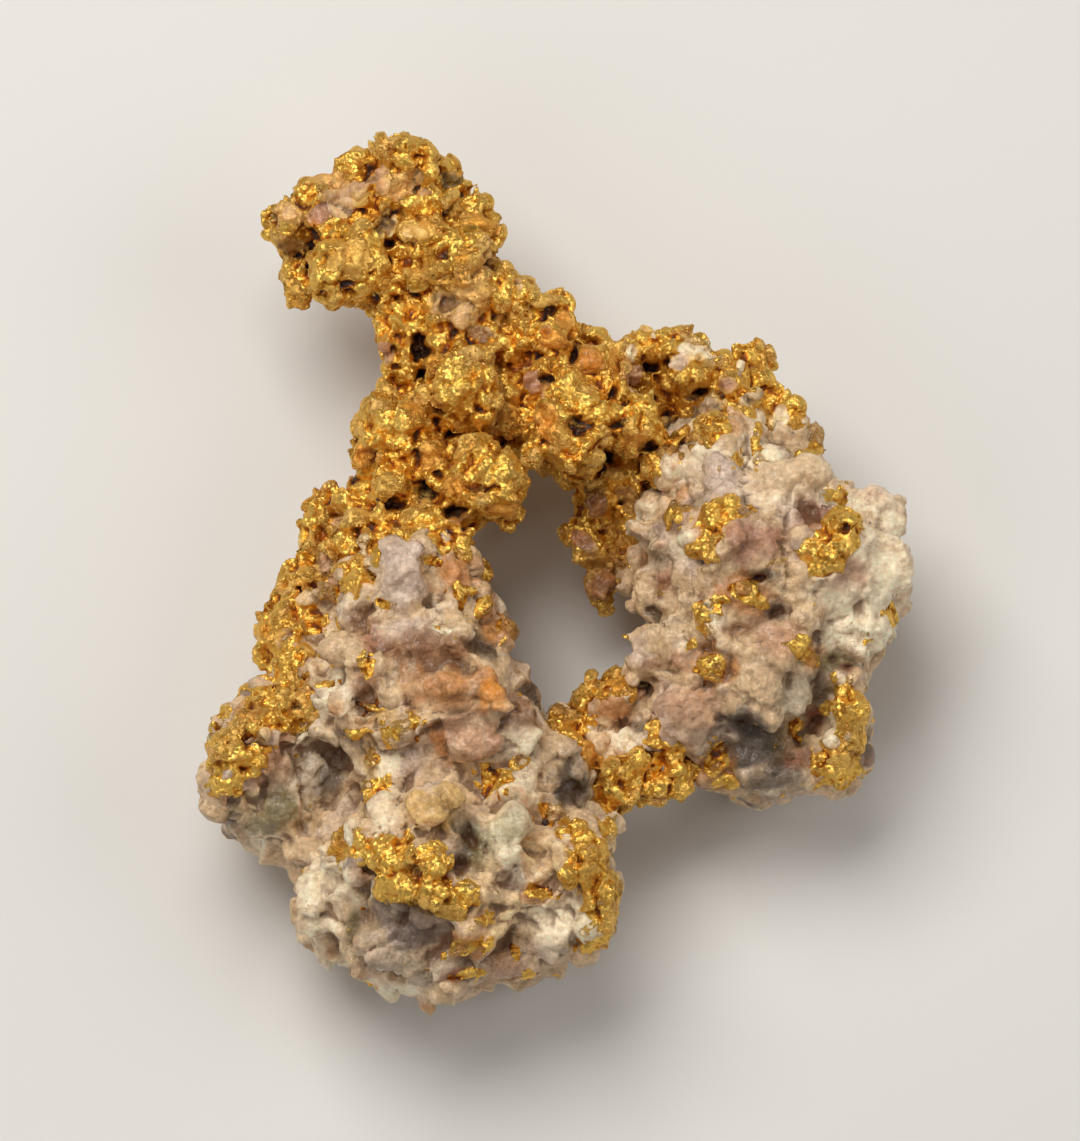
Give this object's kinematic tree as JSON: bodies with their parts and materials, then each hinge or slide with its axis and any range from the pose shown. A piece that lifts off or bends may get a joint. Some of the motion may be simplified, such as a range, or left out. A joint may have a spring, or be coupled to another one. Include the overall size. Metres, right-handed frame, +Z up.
{
  "type": "gold nugget",
  "caption": "Natural ring-shaped nugget of hackly native gold branching between masses of milky vein quartz, lying on its back.",
  "frame": {"origin": "on the table under the middle of the nugget's box", "axes": "+Z up from the table, +Y from the quartz lobe at the near end to the gold head at the far end, +X to the right mass"},
  "size_m": [0.0284, 0.0356, 0.0117],
  "materials": {
    "gold": "native gold, nodular and hackly, bright on the knobs and orange-brown in the crevices",
    "quartz": "milky vein quartz, beige to white with violet-grey, pink and iron-stained zones, waxy to glassy",
    "amber_quartz": "iron-stained amber quartz with dark rock grains"
  },
  "bodies": {
    "root": {"gold_head": "gold", "gold_left_arm": "gold", "gold_right_arm": "gold", "gold_hanging": "gold", "gold_link": "gold", "gold_vein_left": "gold", "gold_seam_low": "gold", "gold_stripe_low": "gold", "gold_knob_right": "gold", "gold_rim_right": "gold", "gold_bar_right": "gold", "quartz_left": "quartz", "quartz_right": "quartz", "quartz_link": "amber_quartz"}
  },
  "joints": []
}
